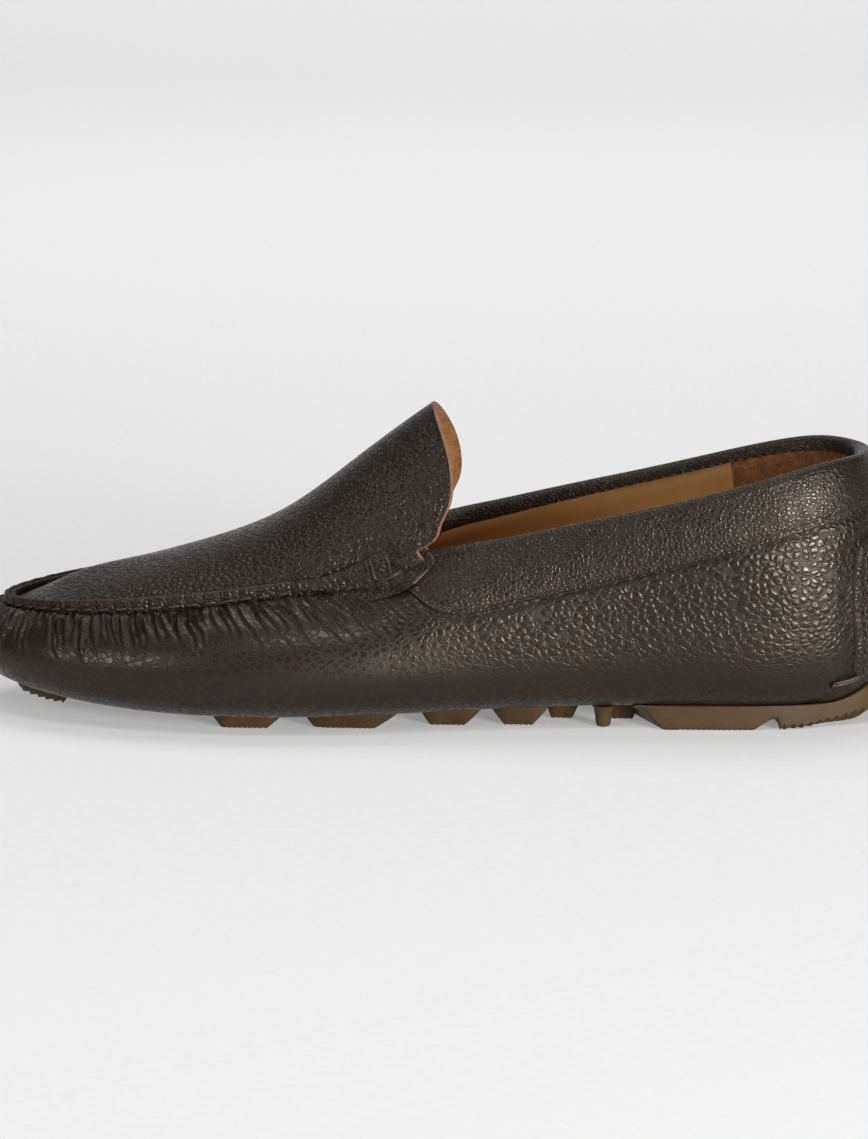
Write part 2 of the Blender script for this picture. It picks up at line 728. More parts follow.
def wrap_side(stations, side):
    """Outer grid of one side and its dark marks: rows along the shoe, columns down."""
    loop = (stations if side < 0 else 2 - stations)[:, None]
    u, _ = station(loop)
    lean = np.sin(np.radians(SHOULDER(u)))
    widest = WIDEST_Z(u)
    top = (WRAP_TOP_Z(rim_x(loop)) - widest) / (reference_z(loop) - widest) * lean
    top = np.clip(top, 0, 0.995)
    share = np.linspace(1, 0, 44)[None, :]
    angle = np.arcsin(top) * share
    z = widest + (reference_z(loop) - widest) * np.sin(angle) / lean
    walls = wall_point(loop, z)
    edge = turn_point(loop, np.linspace(90, 0, 15)[None, 1:])
    sole = bottom_point(loop, np.linspace(1, 0, 10)[None, 1:])
    points = np.concatenate([walls, edge, sole], axis=1)
    steps = np.linalg.norm(np.diff(points, axis=1), axis=2)
    down = np.concatenate([np.zeros((len(stations), 1)), np.cumsum(steps, axis=1)], axis=1)
    along = along_seam(stations)[:, None]
    vamp = fade(rim_x(loop), VAMP_END_X - 22, VAMP_END_X + 6)
    folds, crests = gather_depth(along, down)
    folds, crests = folds * vamp, crests * vamp
    puff = 0.55 * np.exp(-((down - 4.5) / 3.2) ** 2) - 1.1 * np.exp(-(down / 1.2) ** 2)
    broad = 0.22 * noise_2d(points[..., 0] * 0.06, points[..., 2] * 0.09 + side, SEED)
    still = 1 - fade(points[..., 2], 8, 16)
    outward = surface_normals(points) * (1 if side > 0 else -1)
    # the loop runs the other way on the medial side, so the normal is turned to face out
    centre = np.stack([section_frame(loop)[0] + 0 * points[..., 0], 0 * points[..., 0],
                       40 + 0 * points[..., 0]], axis=-1)
    facing = np.sum(outward * (points - centre), axis=-1, keepdims=True)
    outward = np.where(facing < 0, -outward, outward)
    dents = edge_dents(points, loop)
    move = crests - folds + puff * vamp * 0.8 + broad * still - 0.6 * dents
    return points + outward * move[..., None], np.clip(folds / 0.45 + dents, 0, 1)


def make_wrap():
    stations = wrap_stations()
    lateral, lateral_mark = wrap_side(stations, -1)
    medial, medial_mark = wrap_side(stations, 1)
    outer = np.concatenate([lateral, medial[-2:0:-1]], axis=0)
    mark = np.concatenate([lateral_mark, medial_mark[-2:0:-1]], axis=0)
    loop = whole_loop(stations)
    top = WRAP_TOP_Z(rim_x(loop))
    u, _ = station(loop)
    heights = top + (WIDEST_Z(u) - top) * np.linspace(0, 1, 7)[None, :]
    inner = np.concatenate([
        wall_point(loop, heights, -LEATHER),
        turn_point(loop, np.linspace(90, 0, 6)[None, 1:], -LEATHER),
        bottom_point(loop, np.linspace(1, 0, 4)[None, 1:], -LEATHER)], axis=1)
    shape = Shape()
    shape.bowl(outer, inner, mark, rim_slot=1)
    return shape.build("wrap_leather", [TUMBLED_SHADE, EDGE_SHADE], "leather_brown", "wrap",
                       weld=True)


# ---- the sewn ridge round the apron --------------------------------------------------
RIDGE_END_X = -20.0
STITCH_PITCH = 5.6


def ridge_loop(spacing=0.55):
    """Places on the loop along the ridge, from the medial throat round the toe to the lateral."""
    lateral = float(loop_at(np.array(RIDGE_END_X), -1))
    stations, length = even_loop(0.0, lateral, spacing)
    both = np.concatenate([-stations[:0:-1], stations])
    return both, np.linspace(-length, length, len(both))


def lip(inset, height, seed, outward):
    """One upturned edge of the ridge, crimped where the stitches pull it in."""
    signed, along = ridge_loop(0.42)
    loop = on_loop(signed)[:, None]
    along = along[:, None]
    rim = wall_rho(loop, reference_z(loop))
    seam = SEAM_Z(rim_x(loop))
    pitch = along / STITCH_PITCH + 0.10 * noise_1d(along * 0.35, seed + 9)
    ends = fade(np.abs(along), along.max() - 6, along.max())
    tall = height + 0.10 * np.cos(2 * math.pi * pitch) + 0.12 * noise_1d(along * 0.8, seed)
    tall = tall * (0.45 + 0.55 * ends) * (1 - 0.28 * fade(np.abs(along), 8, 70))
    corner = np.linspace(0, math.pi, 7)
    half = LEATHER / 2
    sides = np.array([0.0, 0.2, 0.4, 0.58, 0.74])
    across = np.concatenate([np.full(5, half), half * np.cos(corner), np.full(5, -half)])
    share = np.concatenate([sides, 0.86 + 0.14 * np.sin(corner), sides[::-1]])
    across, share = across[None, :], share[None, :]
    z = seam - 1.0 + (tall + 1.0) * share
    level = np.clip((z - seam) / tall, 0, 1)
    lean = 0.16 * (level - 0.4)
    cell = np.mod(pitch + lean, 1)
    notch = np.exp(-((cell - 0.5) / 0.055) ** 2) * (0.5 + 0.5 * level)
    small = np.exp(-((np.mod(cell + 0.22 + 0.05 * noise_1d(along, seed), 1) - 0.5) / 0.05) ** 2)
    pucker = noise_1d(along * 3.4 + level * 1.2, seed + 3)
    puff = np.sin(np.clip(level * 1.05, 0, 1) * math.pi) ** 0.8 * np.abs(np.sin(math.pi * (
        cell - 0.5))) ** 0.5
    faces_out = across * outward > 0.2
    relief = 0.34 * puff - 0.42 * notch - 0.15 * small * level + 0.09 * pucker
    rho = rim - inset - half + across + np.where(faces_out, outward * relief, 0)
    mark = np.where(faces_out, np.clip(notch + 0.5 * small * level, 0, 1), 0.0)
    return place(loop, rho, z), np.broadcast_to(mark, z.shape)


def make_lip(name, inset, height, seed, outward, *nodes):
    points, mark = lip(inset, height, seed, outward)
    shape = Shape()
    index = shape.add_points(points, mark)
    shape.skin(index[:, :7], 0)
    shape.skin(index[:, 6:11], 1)
    shape.skin(index[:, 10:], 0)
    shape.skin(np.stack([index[:, -1], index[:, 0]], axis=1), 0)
    shape.cap(index[0], 0, flip=True)
    shape.cap(index[-1], 0)
    return shape.build(name, [LEATHER_SHADE, LIP_EDGE_SHADE], "leather_brown", *nodes,
                       weld=True)


def make_moc_thread():
    """Running stitches at the foot of the ridge, at the pitch of its notches."""
    shape = Shape()
    signed, along = ridge_loop()
    span = along.max()
    count = int(2 * span / STITCH_PITCH)
    for k in range(count):
        start = -span + (k + 0.5) * STITCH_PITCH
        inside = start + np.linspace(0.9, STITCH_PITCH - 0.9, 9)
        if inside[-1] > span - 2:
            continue
        here = np.interp(inside, along, signed)
        loop = on_loop(here)
        rim = wall_rho(loop, reference_z(loop))
        sink = hump(9)
        rho = rim - RIDGE_INSET - 0.25 + 0.55 * sink
        z = SEAM_Z(rim_x(loop)) + 0.55 + 0.15 * np.linspace(-1, 1, 9)
        shape.tube(place(loop, rho, z), 0.42, 8)
    return shape.build("moc_thread_stitches", [THREAD_SHADE], "thread_brown", "moc_thread")


# ---- apron and tongue ----------------------------------------------------------------
EAR_OUT = 5.0
RAW_BEVEL = 0.8               # the cut edge slants, so the raw leather shows from the side
# x of the free edge at each height: the tongue's round end, the notch and the ear under it
TONGUE_EDGE = smooth_curve((40, -5.5), (45, -3.2), (48.5, 1.2), (51.5, 2.2), (54.2, 0.2),
                           (55.8, -1.6), (57.4, 1.4), (62, 4.9), (68, 7.5), (76, 8.6),
                           (86, 6.6), (93, 3.6), (98, 1.2))


def apron_station(share, side, offset=0.0, inset=APRON_INSET, back=0.0):
    """The station where the line at this share reaches the free edge."""

    def beyond(u):
        loop = u if side < 0 else 2 - u
        point = place(loop, *arch(loop, share, offset, inset))
        return point[..., 0] - TONGUE_EDGE(point[..., 2]) + back

    fine = np.linspace(0.40, 0.60, 161)
    values = np.stack([beyond(np.full(np.shape(share), u)) for u in fine])
    first = np.argmax(values > 0, axis=0)
    low = fine[np.maximum(first - 1, 0)]
    high = fine[first]
    return solve(beyond, np.zeros(np.shape(share)), low, high, 25)


def apron_grid(offset, inset=APRON_INSET, back=0.0, columns=61, rows=110):
    """Rows from the lateral free edge round the toe to the medial one; columns rim to spine."""
    across = 1 - (1 - np.linspace(0, 1, columns)) ** 1.25
    share = (1 - across)
    grids = []
    for side in (-1, 1):
        end = apron_station(share, side, offset, inset, back)
        u = np.linspace(0, 1, rows)[:, None] * end[None, :]
        loop = u if side < 0 else 2 - u
        grids.append(place(loop, *arch(loop, share[None, :], offset, inset)))
    return np.concatenate([grids[0][::-1], grids[1][1:]], axis=0)


def ear_out(points):
    """Moves the apron's lower back corner outwards, over the collar's front end."""
    x, y, z = points[..., 0], points[..., 1], points[..., 2]
    amount = EAR_OUT * (1 - fade(x, -17, -4)) * fade(z, 53.5, 60)
    amount = amount * (1 - fade(np.abs(y), 18, 24))
    return points + np.stack([0 * x, np.sign(y) * amount, 0 * x], axis=-1)


def apron_skins(shape, outer, inner, rim_slot):
    """Both faces and the sewn rim; the caller closes the free edge, at the first and last row."""
    over = shape.add_points(outer)
    under = shape.add_points(inner)
    shape.skin(over, flip=True)
    shape.skin(under)
    shape.skin(np.stack([over[:, 0], under[:, 0]], axis=1), rim_slot)
    return over, under


def make_apron():
    outer = apron_grid(0.0, back=RAW_BEVEL)
    inner = apron_grid(-LEATHER, back=0.0)
    crown = 0.18 * noise_2d(outer[..., 0] * 0.07, outer[..., 1] * 0.08, SEED + 2)
    outer = outer + np.stack([0 * crown, 0 * crown, crown * fade(outer[..., 0], -30, 5)], -1)
    outer = ear_out(outer)
    inner = ear_out(inner)
    shape = Shape()
    over, under = apron_skins(shape, outer, inner, 1)
    for row, flip in ((0, True), (-1, False)):
        ridge = shape.add_points((outer[row] + inner[row]) / 2 + np.array([0.15, 0, 0]))
        strip = np.stack([over[row], ridge, under[row]], axis=1)
        shape.skin(strip, 1, flip=flip)
    return shape.build("apron_leather", [LEATHER_SHADE, EDGE_SHADE], "leather_brown", "apron",
                       weld=True)


def make_apron_lining():
    inset = APRON_INSET + LEATHER + 0.1
    outer = ear_out(apron_grid(-LEATHER - 0.02, inset, back=0.05, columns=41, rows=70))
    inner = ear_out(apron_grid(-LEATHER - LINING, inset, back=0.1, columns=41, rows=70))
    shape = Shape()
    over, under = apron_skins(shape, outer, inner, 0)
    for row, flip in ((0, True), (-1, False)):
        shape.skin(np.stack([over[row], under[row]], axis=1), 1, flip=flip)
    return shape.build("apron_suede", [SUEDE_SHADE, EDGE_SHADE], "suede_tan", "apron_lining",
                       weld=True)


# ---- throat: the ridge spreads into a tab, laced down with thick thread --------------
TAB_FIRST_X, TAB_LAST_X = -40.0, 3.4
TAB_TOP = smooth_curve((-40, 3.9), (-27, 5.6), (-18, 9.0), (-8.5, 12.2), (-1.5, 12.8), (3.4, 8.6))
TAB_FOOT = smooth_curve((-40, 0.3), (-30, -0.2), (-22, -1.6), (-15, -2.7), (-9, -1.6), (-1.7, 1.9),
                        (3.4, 7.0))
EAR_RAW_X = -2.2              # from here back the tab shows its cut edge
EAR_LIFT = 2.9                # the tab's back end lies over the collar's front end


def apron_rho(loop, z):
    """Reach of the apron's side at height z; below the seam, that of its sewn edge."""
    u, _ = station(loop)
    spine_x, ex, _, reach = section_frame(loop)
    edge = reach - INSET(u) - APRON_INSET
    low = SEAM_Z(place(loop, edge, 0)[..., 0])
    high = APRON_TOP_Z(spine_x + ex * edge)
    share = np.clip((z - low) / (high - low), 0, 0.98)
    return edge * np.sqrt(1 - share ** (1 / ARCH_POWER(u)))


def tab_reach(loop, z):
    """Reach of the tab's outer face: over the ridge, then down on to the apron."""
    seam = SEAM_Z(rim_x(loop))
    above = z - seam
    rim = wall_rho(loop, seam)
    cover = rim + 0.55 - 0.10 * np.clip(above, 0, 5)
    lying = apron_rho(loop, z) + 1.55
    share = fade(above, 3.6, 8.0)
    on_seam = lying + (np.maximum(cover, lying) - lying) * share
    outside = np.maximum(on_seam, wall_rho(loop, z) + EAR_LIFT)
    ear = 1 - fade(rim_x(loop), -9.0, -3.0)
    on_seam = on_seam + (outside - on_seam) * ear * fade(above, 10.5, 13.0)
    below = np.where(above < 0, wall_rho(loop, z) + 1.25 + (EAR_LIFT - 1.25) * ear, on_seam)
    blend = fade(above, -0.6, 0.9)
    return below * blend + on_seam * (1 - blend)


def tab_point(side, x, share, lift=0.0):
    """share 0 at the tab's foot, 1 at its upper edge."""
    loop = loop_at(x, side)
    seam = SEAM_Z(x)
    z = seam + TAB_FOOT(x) + (TAB_TOP(x) - TAB_FOOT(x)) * share
    return place(loop, tab_reach(loop, z) + lift, z)


LACE_X = (-16.4, -11.6, -7.0)


def make_throat_tab(side):
    x = np.linspace(TAB_FIRST_X, TAB_LAST_X, 76)[:, None]
    share = np.linspace(0, 1, 25)[None, :]
    x = x + 0 * share
    share = share + 0 * x
    ends = np.clip(np.minimum(x - TAB_FIRST_X, TAB_LAST_X - x) / 2.0, 0, 1)
    soft = 0.5 * np.sin(share * math.pi) ** 0.8 * np.sqrt(ends)
    drawn = 0
    for lace_x in LACE_X:
        along = x - (lace_x + 3.4 * (0.9 - share))
        drawn = drawn + 0.42 * np.exp(-(along / 0.9) ** 2) * fade(np.abs(share - 0.55), 0.3, 0.5)
    ripple = 0.14 * noise_2d(x * 0.9, share * 3.0, SEED + 8 + side)
    edge = 0.35 * np.exp(-((1 - share) / 0.05) ** 2) + 0.5 * np.exp(-(share / 0.06) ** 2)
    outer = tab_point(side, x, share, soft - drawn + ripple * ends - edge)
    inner = tab_point(side, x, np.clip(share, 0.03, 0.99), -1.25 + 0 * share)
    shape = Shape()
    over = shape.add_points(outer, np.clip(drawn * 1.6, 0, 1))
    under = shape.add_points(inner)
    raw = int(np.argmax(x[:, 0] > EAR_RAW_X))
    shape.skin(over[:raw + 1], 0)
    shape.skin(over[raw:, 1:-1], 0)
    for strip in (over[raw:, :2], over[raw:, -2:]):
        shape.skin(strip, 2)
    shape.skin(under, 0, flip=True)
    for column, slot in ((0, 0), (-1, 1)):
        wall_strip = np.stack([under[:, column], over[:, column]], axis=1)
        shape.skin(wall_strip[:raw + 1], slot)
        shape.skin(wall_strip[raw:], 2)
    shape.skin(np.stack([over[0], under[0]], axis=1), 0)
    shape.skin(np.stack([over[-1], under[-1]], axis=1), 2)
    name = "throat_tab_lateral" if side < 0 else "throat_tab_medial"
    return shape.build(name, [LEATHER_SHADE, LIP_EDGE_SHADE, EDGE_SHADE], "leather_brown",
                       weld=True)


def make_throat_lacing(side):
    """Three thick two-ply stitches down the tab and one across its lower half."""
    shape = Shape()
    count = 13
    run = np.linspace(0, 1, count)
    dive = np.sin(run * math.pi) ** 0.45
    for lace_x in LACE_X:
        x = lace_x + 3.2 * (run - 0.15)
        share = 0.93 - 0.52 * run
        path = tab_point(side, x, share, -0.45 + 1.05 * dive)
        for twist in (-1, 1):
            wave = twist * 0.20 * np.cos(run * 16)
            shape.tube(path + np.stack([wave, 0 * wave, twist * 0.20 * np.sin(run * 16)], -1),
                       0.52, 8)
    x = np.linspace(LACE_X[0] + 2.6, LACE_X[2] + 1.0, 17)
    wide = hump(17, 0.4)
    shape.tube(tab_point(side, x, 0.34 + 0.10 * np.linspace(0, 1, 17), -0.5 + 0.75 * wide),
               0.48, 8)
    name = "throat_lace_lateral" if side < 0 else "throat_lace_medial"
    node = "throat_lacing_lateral" if side < 0 else "throat_lacing_medial"
    return shape.build(name, [THREAD_SHADE], "thread_brown", node)


# ---- collar --------------------------------------------------------------------------
BAND_START_X = -6.0


def collar_loop(spacing=1.3, start_x=BAND_START_X):
    """Places from the lateral throat round the heel to the medial throat."""
    lateral = float(loop_at(np.array(start_x), -1))
    medial = float(loop_at(np.array(start_x), 1))
    loop, _ = even_loop(lateral, medial, spacing, topline_z)
    return loop


def make_collar_band():
    loop = collar_loop(0.9)[:, None]
    low = BAND_EDGE_Z(rim_x(loop))
    high = topline_z(loop)
    bend = high - FOLD
    fold_out = LINING_OFFSET - LINING - GAP
    out = GAP + BAND
    inner = fold_out - BAND
    middle, half = (out + inner) / 2, (out - inner) / 2
    share = np.linspace(0, 1, 26)[None, :]
    z = low + (bend - low) * share
    stitch_dip = 0.28 * np.exp(-((z - low - 1.5) / 0.55) ** 2)
    puff = 0.75 * np.sin(np.clip((z - low) / (bend - low), 0, 1) ** 1.3 * math.pi) ** 1.2
    soft = 0.16 * noise_2d(loop * 60, z * 0.12, SEED + 5)
    face = wall_point(loop, z, out - stitch_dip + 0.35 * puff + soft * 0.7)
    roll = np.linspace(0, math.pi, 14)[None, 1:-1]
    offset = middle + half * np.cos(roll)
    crown = place(loop, wall_rho(loop, bend) + offset, bend + FOLD * np.sin(roll))
    inside = wall_point(loop, bend - INNER_FOLD * np.linspace(0, 1, 7)[None, :],
                               inner - 0.15 * np.sin(np.linspace(0, math.pi, 7))[None, :])
    back = wall_point(loop, bend - INNER_FOLD * np.linspace(1, 0, 4)[None, :], fold_out)
    small = half - BAND
    inner_roll = place(loop, wall_rho(loop, bend) + middle - small * np.cos(roll[:, ::2]),
                       bend + (FOLD - BAND) * np.sin(roll[:, ::2]))
    hidden = wall_point(loop, low + (bend - low) * np.linspace(1, 0, 8)[None, :], GAP)
    hem = wall_point(loop, low - 0.25, (out + GAP) / 2)
    ring = np.concatenate([face, crown, inside, back, inner_roll, hidden, hem], axis=1)
    shape = Shape()
    shape.loft(ring, flip=True)
    return shape.build("collar_leather", [COLLAR_SHADE], "leather_brown", "collar_band")


MACHINE_PITCH, MACHINE_STITCH = 3.1, 2.35     # from stitch to stitch, and length that shows


def stitch_row(name, loop, z, offset, radius, *nodes):
    """Separate machine stitches along a line on the wall."""
    along = run_length(wall_point(loop, z, offset))
    shape = Shape()
    for k in range(int(along[-1] / MACHINE_PITCH) - 1):
        here = k * MACHINE_PITCH + 1.0 + np.linspace(0, MACHINE_STITCH, 6)
        where = np.interp(here, along, loop)
        height = np.interp(here, along, z)
        arc = hump(6)
        slope = 0.10 * np.linspace(-1, 1, 6)
        shape.tube(wall_point(where, height + slope, offset - radius + 1.05 * radius * arc),
                   radius, 6)
    return shape.build(name, [THREAD_SHADE], "thread_brown", *nodes)


def make_collar_thread():
    loop = collar_loop(0.9, -3.0)
    z = BAND_EDGE_Z(rim_x(loop)) + 1.5
    return stitch_row("collar_stitches", loop, z, GAP + BAND - 0.10, 0.26,
                      "collar_thread")


def make_topline_thread():
    loop = collar_loop(0.9, 4.0)
    z = topline_z(loop) - FOLD - 0.65 * INNER_FOLD
    inner = LINING_OFFSET - LINING - GAP - BAND
    return stitch_row("topline_stitches", loop, z, inner - 0.05, -0.24,
                      "topline_thread")


# ---- linings -------------------------------------------------------------------------
def make_sheet(name, stations, high, offset, thickness, low_angle, material, slot_name, node):
    """A sheet on the inside of the wall, carried down round the bottom edge."""
    loop, high = stations[:, None], high[:, None]
    z = high + (WIDEST_Z(station(loop)[0]) - high) * np.linspace(0, 1, 16)[None, :]
    angles = np.linspace(90, low_angle, 8)[None, 1:]
    shape = Shape()
    shape.sheet(*(np.concatenate([wall_point(loop, z, depth), turn_point(loop, angles, depth)],
                                 axis=1) for depth in (offset, offset - thickness)))
    return shape.build(name, [material], slot_name, node)


LINING_START_X = -4.0
GRIP_START = 0.735            # station of the heel grip's front edge


def make_linings():
    loop = collar_loop(1.6, LINING_START_X)
    make_sheet("quarter_lining_leather", loop, topline_z(loop) - FOLD - 0.4,
               LINING_OFFSET, LINING, 20, LINING_SHADE, "lining_tan", "quarter_lining")
    toe = on_loop(ridge_loop(2.0)[0])
    make_sheet("vamp_lining_leather", toe, SEAM_Z(rim_x(toe)) - 2.6,
               -LEATHER - GAP, LINING, 20, LINING_SHADE, "lining_tan", "vamp_lining")
    heel = np.linspace(GRIP_START, 2 - GRIP_START, 90)
    make_sheet("heel_grip_suede", heel, topline_z(heel) - FOLD - 0.5,
               LINING_OFFSET - LINING - 0.02, 0.45, 60, SUEDE_SHADE, "suede_tan", "heel_grip")


SOCK_TOP, SOCK_MARGIN = 6.5, 8.4    # above the sole's line, and in from the outline


def make_footbed():
    """The tan sock lining: a slightly dished sheet out to the linings."""
    stations = np.linspace(0, 1, 120)
    loop = whole_loop(stations)
    reach = section_frame(loop)[3]
    share = np.linspace(1, 0, 22)[None, :]
    sheets = []
    for lift in (SOCK_TOP, SOCK_TOP - 1.0):
        rho = (reach - SOCK_MARGIN) * share
        z = SOLE_LINE(place(loop, rho, 0)[..., 0]) + lift + 1.6 * share ** 6
        sheets.append(place(loop, rho, z))
    shape = Shape()
    shape.bowl(*sheets)
    return shape.build("sock_lining_leather", [LINING_SHADE], "lining_tan", "sock_lining",
                       weld=True)


# ---- padding and board, hidden inside ------------------------------------------------
CUP_START = 0.71              # station of the heel counter's front edge
PADDING_DEPTH = 13            # how far the collar's foam reaches down


def make_padding():
    """A foam strip under the collar and a stiff cup round the heel, inside the leather."""
    loop = collar_loop(2.5, -2.0)[:, None]
    high = topline_z(loop) - FOLD - 0.6
    rows = high - PADDING_DEPTH * np.linspace(0, 1, 7)[None, :]
    puff = 0.8 * np.sin(np.linspace(0, math.pi, 7))[None, :] ** 0.6
    outer = wall_point(loop, rows, -LEATHER - 0.05)
    inner = wall_point(loop, rows, -LEATHER - 0.15 - puff * PADDING)
    foam = Shape()
    foam.sheet(outer, inner)
    piece = foam.build("collar_padding", [FOAM_SHADE], "foam_grey", "collar_foam", weld=True)
    cup_loop = np.linspace(CUP_START, 2 - CUP_START, 80)[:, None]
    u, _ = station(cup_loop)
    top = topline_z(cup_loop) - 24
    z = top + (WIDEST_Z(u) + 1 - top) * np.linspace(0, 1, 9)[None, :]
    cup = Shape()
    cup.sheet(wall_point(cup_loop, z, -LEATHER - GAP),
              wall_point(cup_loop, z, -LEATHER - GAP - PADDING))
    cup.build("heel_counter_cup", [BOARD_SHADE], "board_fibre", "heel_counter", weld=True)


def sole_sheet(name, margin, low, thick, dome, material, slot_name, node):
    """A closed sheet that follows the sole's line, inset from the outline by margin."""
    stations = np.linspace(0, 1, 90)
    loop = whole_loop(stations)
    reach = section_frame(loop)[3]
    share = np.linspace(1, 0, 14)[None, :]
    rho = np.maximum(reach - margin, 1.0) * share
    base = SOLE_LINE(place(loop, rho, 0)[..., 0])
    shape = Shape()
    shape.bowl(place(loop, rho, base + low + thick + dome * (1 - share ** 4)),
               place(loop, rho, base + low))
    piece = shape.build(name, [material], slot_name, node, weld=True)
    return piece


# ---- heel patch and tie --------------------------------------------------------------
PATCH_TOP, PATCH_FOOT = 61.0, 14.5
PATCH_OUT = GAP + 1.5
PATCH_CORNER = 6.0            # radius of the patch's corners
PATCH_EDGE = smooth_curve((8, 22.5), (14, 23), (38, 25.6), (54, 24), (61, 20.5), (66, 13))


def side_point(loop, z, offset=0.0):
    """A point on the outside at any height, on the wall or on the rounded edge below it."""
    u, _ = station(loop)
    reach = section_frame(loop)[3]
    low = SOLE_LINE(place(loop, reach - TURN(u), 0)[..., 0])
    cosine = np.clip(1 - (z - low) / (WIDEST_Z(u) - low), 0, 1)
    angle = np.degrees(np.arccos(cosine))
    on_wall = wall_point(loop, z, offset)
    on_turn = turn_point(loop, angle, offset)
    return np.where((z > WIDEST_Z(u))[..., None], on_wall, on_turn)


def heel_loop(y, z):
    """The place on the loop round the heel where the outside stands at y."""
    return solve(lambda where: side_point(where, z)[..., 1], y, 0.72, 1.28)


def patch_half_width(z):
    """Half the patch's width at each height, with its corners rounded off."""
    half = PATCH_EDGE(z)
    corner = PATCH_CORNER
    for edge in (PATCH_TOP, PATCH_FOOT):
        into = np.clip(corner - np.abs(z - edge), 0, corner)
        half = half - (corner - np.sqrt(corner ** 2 - into ** 2))
    return half


def patch_point(z, share, offset):
    """share -1 to 1 across the patch."""
    y = share * patch_half_width(z)
    return side_point(heel_loop(y, z), z, offset)


def make_heel_patch():
    rise = 0.5 - 0.5 * np.cos(np.linspace(0, math.pi, 46))
    z = (PATCH_FOOT + (PATCH_TOP - PATCH_FOOT) * rise)[:, None]
    share = np.sin(np.linspace(-math.pi / 2, math.pi / 2, 41))[None, :]
    half = patch_half_width(z)
    to_edge = half * (1 - np.abs(share))
    to_end = np.minimum(z - PATCH_FOOT, PATCH_TOP - z) + 0 * share
    seam_dip = 0.22 * np.exp(-((to_edge - 1.9) / 0.6) ** 2)
    rounded = 0.45 * np.exp(-(np.minimum(to_edge, to_end) / 0.35) ** 2)
    offset = PATCH_OUT + 0.12 * fade(to_edge, 6, 0) - seam_dip - rounded
    outer = patch_point(z + 0 * share, share + 0 * z, offset)
    inner = patch_point(z + 0 * share, share + 0 * z, GAP * 0.4 + 0 * offset)
    shape = Shape()
    shape.sheet(outer, inner, edge_slot=1)
    shape.build("heel_patch_leather", [LEATHER_SHADE, LIP_EDGE_SHADE], "leather_brown",
                "heel_patch", weld=True)


PATCH_PITCH, PATCH_STITCH, PATCH_THREAD = 3.0, 2.3, 0.25


def make_patch_thread():
    """Machine stitches down both sides of the patch and across its top."""
    shape = Shape()
    lift = PATCH_OUT - 0.30 + 0.30 * hump(6)
    run = np.linspace(0, PATCH_STITCH, 6)
    for sign in (-1, 1):
        for start in np.arange(PATCH_FOOT + 3.0, PATCH_TOP - 4.5, PATCH_PITCH):
            z = start + run
            share = sign * (1 - 1.9 / patch_half_width(z))
            shape.tube(patch_point(z, share, lift), PATCH_THREAD, 6)
    for start in np.arange(-13.5, 12.0, PATCH_PITCH):
        z = np.full(6, PATCH_TOP - 2.0)
        shape.tube(side_point(heel_loop(start + run, z), z, lift), PATCH_THREAD, 6)
    shape.build("heel_patch_stitches", [THREAD_SHADE], "thread_brown", "heel_patch_thread")


def make_heel_tie():
    """Thread through a hole each side of the patch's foot, drawn in to a small knot."""
    shape = Shape()
    for sign in (-1, 1):
        count = 9
        y = sign * np.linspace(25.6, 20.0, count)
        z = np.linspace(14.8, 17.4, count)
        lift = 0.3 + 0.9 * np.sin(np.linspace(0.2, math.pi * 0.8, count))
        for shift in (-0.45, 0.45):
            shape.tube(side_point(heel_loop(y, z + shift), z + shift, lift), 0.5, 8)
        knot = side_point(heel_loop(np.array([sign * 25.8]), np.array([14.7])),
                          np.array([14.7]), np.array([0.6]))[0]
        ring = np.linspace(0, 2 * math.pi, 14, endpoint=False)
        curl = np.stack([0.35 * np.cos(ring), 0.75 * np.sin(ring),
                         0.75 * np.cos(ring) + 0.25 * np.sin(2 * ring)], axis=-1)
        shape.tube(knot + curl, 0.42, 8, closed=True)
    shape.build("heel_tie_thread", [THREAD_SHADE], "thread_brown", "heel_tie")


# ---- rubber sole ---------------------------------------------------------------------
SOLE_CLEAR = 0.3
SERRATION = 1.6
# (first x at the top, first x at the foot, last x at the foot, last x at the top, y, width)
FRONT_PODS = (
    (-66.0, -62.5, -48.5, -43.0, -25, 20), (-37.5, -34.0, -15.5, -7.5, -24, 19),
    (-66.0, -62.0, -48.0, -43.0, 0, 18), (-37.0, -33.5, -18.0, -13.0, 0, 17),
    (-66.0, -62.0, -49.0, -44.0, 25, 20), (-38.0, -34.0, -17.0, -10.0, 23, 18),
    (-92.0, -88.5, -77.0, -73.0, 8, 20))
WAIST_PODS = (
    (-2.0, 1.5, 12.0, 18.0, -20, 15), (20.0, 24.5, 33.0, 38.5, -19, 14),
    (-2.0, 1.5, 12.0, 17.0, 19, 14), (20.0, 24.0, 32.0, 37.0, 17, 13),
    (-2.0, 1.0, 11.0, 15.0, 0, 15), (19.0, 22.0, 31.0, 35.0, 0, 13),
    (36.5, 38.5, 45.0, 48.0, -9.5, 13), (55.0, 57.5, 64.0, 66.0, -9.5, 13))


